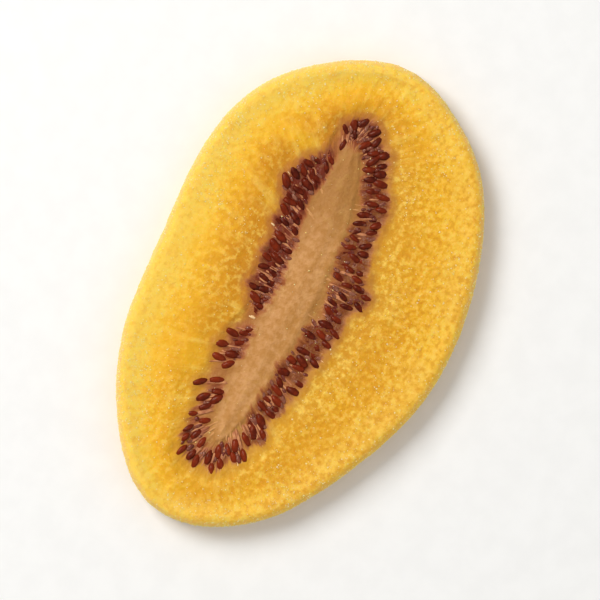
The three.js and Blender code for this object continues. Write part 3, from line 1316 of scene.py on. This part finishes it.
@dataclass(frozen=True)
class FleshFinish(Finish):
    """Golden flesh, tan core, maroon gel round the seeds and a pale rim, with grain and sugar dust."""

    light: str = "F7C022"
    golden: str = "E8AA1C"
    amber: str = "D69010"
    olive_pit_shade: str = "A87A1E"
    streak: str = "FBD460"
    core: str = "BC8142"
    core_dark: str = "A56E33"
    core_pale: str = "D0965E"
    gel_pale: str = "AE6436"
    gel_dark_and_gap_shade: str = "702414"
    stain: str = "A65E2C"
    rim: str = "F8C470"
    sugar: str = "FFE28A"

    def material(self, grain: bpy.types.NodeTree) -> Material:
        """Builds the finish from the zone, side, seeds and fibres that the mesh carries.

        Colours are laid over one another from the flesh and core to the seeds' surroundings, the rim
        and the grain.

        Args:
            grain: the group for dried grain.

        Returns:
            The material.
        """
        material, nodes, shader = self.start()
        mix, step, times, plus = nodes.mix, nodes.step, nodes.times, nodes.plus
        place = nodes.millimetres()
        zone, side = nodes.attribute("zone"), nodes.attribute("side")
        crowd, near = nodes.attribute("crowd"), nodes.attribute("near")
        edge_noise = nodes.math("SUBTRACT", nodes.noise(place, 0.9), 0.5)
        ragged = plus(zone, times(edge_noise, 0.5))
        streaks = nodes.noise(nodes.attribute("fibre", "Vector"), 1.4, 4.0, 0.6)
        broad = nodes.noise(place, 0.16, 3.0)
        across = nodes.add("SeparateXYZ", {0: place})
        x, y = across.outputs["X"], across.outputs["Y"]
        # Painted light: a share that rises towards the side of the slice that the key lamp lights
        lit_side = plus(step(y, -12.0, 14.0, 0.7), 0.45, clamp=True)
        inland = plus(step(x, -20.0, 2.0, 0.45), 0.55)

        base = self.flesh(nodes, (x, y), ragged, broad, streaks, lit_side, inland)
        # Core, darker at its edge and towards the broad end
        core = mix(step(nodes.noise(place, 1.3, 4.0), 0.35, 0.7), self.core, self.core_pale)
        core = mix(step(x, 4.0, 16.0, 0.8), core, self.core_dark)
        core = mix(step(zone, 0.6, 1.1, 0.7), core, self.core_dark)
        base = mix(step(ragged, 2.0, 1.4), base, core)

        # Stain in the band of seeds, and gel where they are packed: the gel's own maroon, deepened as
        # painted shade in the gaps between crowded seeds
        band = times(step(ragged, 1.0, 1.35), step(ragged, 2.32, 1.95, 0.7))
        stained = times(plus(step(crowd, 0.05, 0.7, 0.7), 0.3), inland)
        base = mix(times(band, stained), base, self.stain)
        packed = times(crowd, step(streaks, 0.25, 0.75, 0.8))
        packed = plus(times(crowd, 0.6), packed)
        gel = mix(step(packed, 1.1, 2.6), self.gel_pale, self.gel_dark_and_gap_shade)
        base = mix(step(packed, 0.95, 1.7), base, gel)

        # Rim, a pale band on the rounded edge, palest at the broad end and, as painted light, on the key
        # lamp's side
        painted_light_and_broad_end = nodes.math("MAXIMUM", lit_side, step(x, -8.0, 16.0, 0.9))
        base = mix(times(step(side, 0.3, 0.75, 0.95), painted_light_and_broad_end), base, self.rim)

        # Grain and sugar dust, little of it among the seeds and on the core
        bare = nodes.math("MAXIMUM", step(crowd, 0.1, 0.8), step(zone, 1.4, 0.9))
        # Share towards the side away from the key lamp: coarser grain there, and the olive specks below
        shaded = step(y, 6.0, -8.0, 0.3)
        coarse = plus(step(ragged, 2.45, 3.0, 0.5), shaded)
        coarse = plus(coarse, step(broad, 0.35, 0.65, 0.5))
        dusty = nodes.math("SUBTRACT", 1.0, times(bare, 0.9))
        dusty = times(dusty, plus(coarse, 0.3, clamp=True))
        grains = nodes.add("Group", node_tree=grain)
        nodes.set(grains.inputs["Place"], place)
        nodes.set(grains.inputs["Dust"], dusty)
        mottle, dust, lumps = (grains.outputs[key] for key in ("Mottle", "Dust", "Height"))
        base = mix(times(step(mottle, 0.46, 0.66, 0.7), dusty), base, self.streak)
        # Dark amber mottle of the grain, made stronger away from the key lamp as painted shade
        dark_mottle_and_shade = times(times(step(mottle, 0.5, 0.35, 0.55), dusty), step(side, 0.6, 0.1))
        dark_mottle_and_shade = times(dark_mottle_and_shade, nodes.math("SUBTRACT", 1.45, lit_side, clamp=True))
        base = mix(dark_mottle_and_shade, base, self.amber)
        # Painted shade: olive specks in the grain's low spots near the seeds, on the side away from the
        # key lamp
        specks = times(step(lumps, 0.48, 0.4, 0.6), step(ragged, 2.6, 2.1))
        base = mix(times(specks, shaded), base, self.olive_pit_shade)
        base = mix(times(dust, 0.4), base, self.sugar)

        # Gloss, scattering and fine relief
        rough = nodes.math("SUBTRACT", self.roughness, step(near, 0.1, 0.7, 0.3))
        ribs = times(streaks, step(zone, 1.0, 1.4, 0.5))
        ends = {
            "Base Color": base,
            "Specular IOR Level": step(side, 0.7, 0.2, 0.5),
            "Subsurface Weight": step(ragged, 1.9, 2.5, self.subsurface),
            "Roughness": nodes.math("MINIMUM", plus(rough, dust), 0.9),
            "Normal": nodes.bump(plus(lumps, ribs), 0.22),
        }
        for key, value in ends.items():
            nodes.set(shader.inputs[key], value)
        return material

    def flesh(self, nodes: Nodes, xy: tuple[Socket, Socket], ragged: Socket, broad: Socket,
              streaks: Socket, lit_side: Socket, inland: Socket) -> Socket:
        """Colour of the flesh alone: lighter in random patches and towards the broad end, lighter towards
        the key lamp's side as painted light, with a halo, rays and a pale edge.

        Args:
            nodes: the material's nodes.
            xy: place on the slice in millimetres.
            ragged: zone with an uneven edge.
            broad: noise of wide patches.
            streaks: noise drawn out along the fibres.
            lit_side: share of painted light, higher towards the side that the key lamp lights.
            inland: share that is lower towards the slice's narrow end.

        Returns:
            The colour.
        """
        mix, step, times, plus = nodes.mix, nodes.step, nodes.times, nodes.plus
        x, y = xy
        # The noise and the step in x are the flesh's own tone; the step in y is painted light, lighter
        # towards the key lamp's side
        tone_and_painted_light = plus(plus(broad, step(y, -14.0, 14.0, 0.5)), step(x, -12.0, 22.0, 0.2))
        base = mix(step(tone_and_painted_light, 0.45, 1.0), self.golden, self.light)
        halo = times(step(ragged, 2.8, 2.15), step(broad, 0.2, 0.5))
        base = mix(times(times(halo, lit_side), inland), base, self.amber)
        rays = plus(step(ragged, 2.7, 2.1, 0.6), 0.4)
        rays = times(step(streaks, 0.5, 0.72, 0.5), rays)
        base = mix(rays, base, self.streak)
        # Pale edge near the rim, brightened as painted light on the key lamp's side
        return mix(times(step(ragged, 2.5, 3.0, 0.7), lit_side), base, self.streak)


@dataclass(frozen=True)
class SeedFinish(Finish):
    """Dark maroon seeds with fine pits, some of them browner, most of all at the narrow end."""

    dark: str = "3E0A05"
    brown: str = "80280C"

    def material(self) -> Material:
        """Builds the finish, with a tint of its own for each seed.

        Returns:
            The material.
        """
        material, nodes, shader = self.start()
        place = nodes.millimetres()
        cloudy = nodes.step(nodes.noise(place, 1.6, 3.0), 0.3, 0.7)
        share = nodes.plus(cloudy, nodes.step(nodes.attribute("tint"), 0.2, 1.0))
        x = nodes.add("SeparateXYZ", {0: place}).outputs["X"]
        share = nodes.times(nodes.plus(share, nodes.step(x, 4.0, -18.0, 0.6)), 0.45)
        nodes.set(shader.inputs["Base Color"], nodes.mix(share, self.dark, self.brown))
        pits = nodes.add("TexVoronoi", {"Vector": place, "Scale": 7.0}, feature="SMOOTH_F1")
        nodes.set(shader.inputs["Normal"], nodes.bump(pits.outputs["Distance"], 0.04))
        return material


@dataclass(frozen=True)
class PlainFinish(Finish):
    """A finish of two near colours in soft clouds, for gel, threads, sugar and the floor."""

    first: str = "FFFFFF"
    second: str = "FFFFFF"
    cloud_scale: float = 1.0
    relief: float = 0.02

    def material(self) -> Material:
        """Builds the finish from one noise that sets both colour and fine relief.

        Returns:
            The material.
        """
        material, nodes, shader = self.start()
        cloud = nodes.noise(nodes.millimetres(), self.cloud_scale, 3.0)
        tone = nodes.mix(nodes.step(cloud, 0.3, 0.7), self.first, self.second)
        nodes.set(shader.inputs["Base Color"], tone)
        nodes.set(shader.inputs["Normal"], nodes.bump(cloud, self.relief))
        return material


# The studio


@dataclass
class Studio:
    """Pale floor, soft light from the picture's upper left and a camera straight above.

    Attributes:
        long_axis_degrees: how far the slice's long axis is turned from the picture's right-hand side.
        frame_width: width of the floor that the picture shows, in metres.
    """

    long_axis_degrees: float = 61.0
    frame_width: float = 0.077
    camera_height: float = 0.5
    sensor: float = 36.0
    floor_size: float = 1.6
    key_energy: float = 3.6
    fill_energy: float = 0.7
    sky: float = 0.45

    def across(self, right: float, up: float) -> Array:
        """The way on the floor that points right and up in the picture.

        Args:
            right: metres to the right in the picture.
            up: metres upwards in the picture.

        Returns:
            x and y on the floor, and a height of 0.
        """
        turn = -math.radians(self.long_axis_degrees)
        return np.array([right * math.cos(turn) - up * math.sin(turn),
                         right * math.sin(turn) + up * math.cos(turn), 0.0])

    def camera(self) -> None:
        """Adds the camera and makes it the scene's."""
        data = bpy.data.cameras.new("camera")
        data.sensor_width = self.sensor
        data.lens = self.sensor * self.camera_height / self.frame_width
        camera = bpy.data.objects.new("camera", data)
        camera.location = (0.0, 0.0, self.camera_height)
        camera.rotation_euler = (0.0, 0.0, -math.radians(self.long_axis_degrees))
        bpy.context.scene.collection.objects.link(camera)
        bpy.context.scene.camera = camera

    def lamp(self, name: str, way: Array, height: float, size: float, energy: float) -> None:
        """Adds a square soft light that looks at the slice.

        Args:
            name: its name.
            way: where it hangs, seen from above.
            height: how high it hangs.
            size: edge of the square, in metres.
            energy: its power in watts.
        """
        data = bpy.data.lights.new(name, "AREA")
        data.size = size
        data.energy = energy
        lamp = bpy.data.objects.new(name, data)
        spot = np.array([*way[:2], height])
        lamp.location = spot
        aim = bpy.data.objects.new(f"{name}_aim", None)
        bpy.context.scene.collection.objects.link(lamp)
        bpy.context.scene.collection.objects.link(aim)
        follow = lamp.constraints.new("TRACK_TO")
        follow.target = aim
        follow.track_axis = "TRACK_NEGATIVE_Z"
        follow.up_axis = "UP_Y"

    def floor(self) -> None:
        """Adds the floor."""
        mesh = bpy.data.meshes.new("floor")
        half = self.floor_size / 2
        corners = [(-half, -half, 0), (half, -half, 0), (half, half, 0), (-half, half, 0)]
        mesh.from_pydata(corners, [], [(0, 1, 2, 3)])
        finish = PlainFinish("pale_floor", roughness=0.7, first="F6F5F2", second="F3F2EF",
                             cloud_scale=0.3, relief=0.0)
        mesh.materials.append(finish.material())
        floor = bpy.data.objects.new("floor", mesh)
        bpy.context.scene.collection.objects.link(floor)

    def build(self) -> None:
        """Adds everything round the slice."""
        self.camera()
        self.floor()
        self.lamp("key", self.across(-0.33, 0.3), 0.52, 0.34, self.key_energy)
        self.lamp("fill", self.across(0.5, -0.3), 0.6, 0.6, self.fill_energy)
        scene = bpy.context.scene
        scene.view_settings.view_transform = "Standard"
        world = bpy.data.worlds.new("sky")
        world.use_nodes = True
        back = world.node_tree.nodes["Background"]
        back.inputs["Color"].default_value = (1.0, 1.0, 1.0, 1.0)
        back.inputs["Strength"].default_value = self.sky
        scene.world = world


def main() -> None:
    logging.basicConfig(level=logging.INFO, format="%(name)s: %(message)s")
    form = SliceForm()
    seeds = {face: SeedRule().scatter(form, draw) for face, draw in SEED_DRAWS.items()}

    flesh = FleshFinish("kiwi_flesh", roughness=0.55, subsurface=0.8, subsurface_depth=0.6,
                        subsurface_reach=(1.0, 0.6, 0.12), ior=1.35, gleam=(1.0, 0.9, 0.75))
    seed = SeedFinish("kiwi_seed", roughness=0.36, coat=0.12, coat_roughness=0.12, ior=1.28,
                      gleam=(1.0, 0.45, 0.25)).material()
    gel = PlainFinish("seed_gel", roughness=0.1, transmission=0.5, ior=1.36, gleam=(1.0, 0.85, 0.8),
                      first="BE7C60", second="862F24", cloud_scale=0.8).material()
    stalk = PlainFinish("pale_stalk", roughness=0.7, ior=1.3, gleam=(1.0, 0.8, 0.5),
                        first="D29A60", second="C08650").material()
    wall = PlainFinish("pale_wall", roughness=0.5, ior=1.35, gleam=(1.0, 0.8, 0.6),
                       first="D29060", second="A25C40").material()
    tuft = PlainFinish("cream_tuft", roughness=0.5, gleam=(1.0, 0.85, 0.65),
                       first="F8D8A6", second="EDBE86").material()
    sugar = PlainFinish("sugar", roughness=0.45, subsurface=0.5, subsurface_depth=0.2,
                        subsurface_reach=(1.0, 0.8, 0.4), first="FCD975", second="FFEDB4").material()

    body = Flesh()
    points, values = body.surface(form, seeds)
    body.build(points, values, flesh.material(dried_grain()))
    kinds = ((Seeds, seed, 101), (GelBeads, gel, 111), (Stalks, stalk, 121), (Tufts, tuft, 131),
             (Walls, wall, 141))
    for number, face in enumerate(Face):
        for kind, material, salt in kinds:
            kind(form, face, seeds[face], material, salt + number).build()
    SugarGrains().build(form, points, values, sugar)
    Studio().build()


if __name__ == "__main__":
    main()
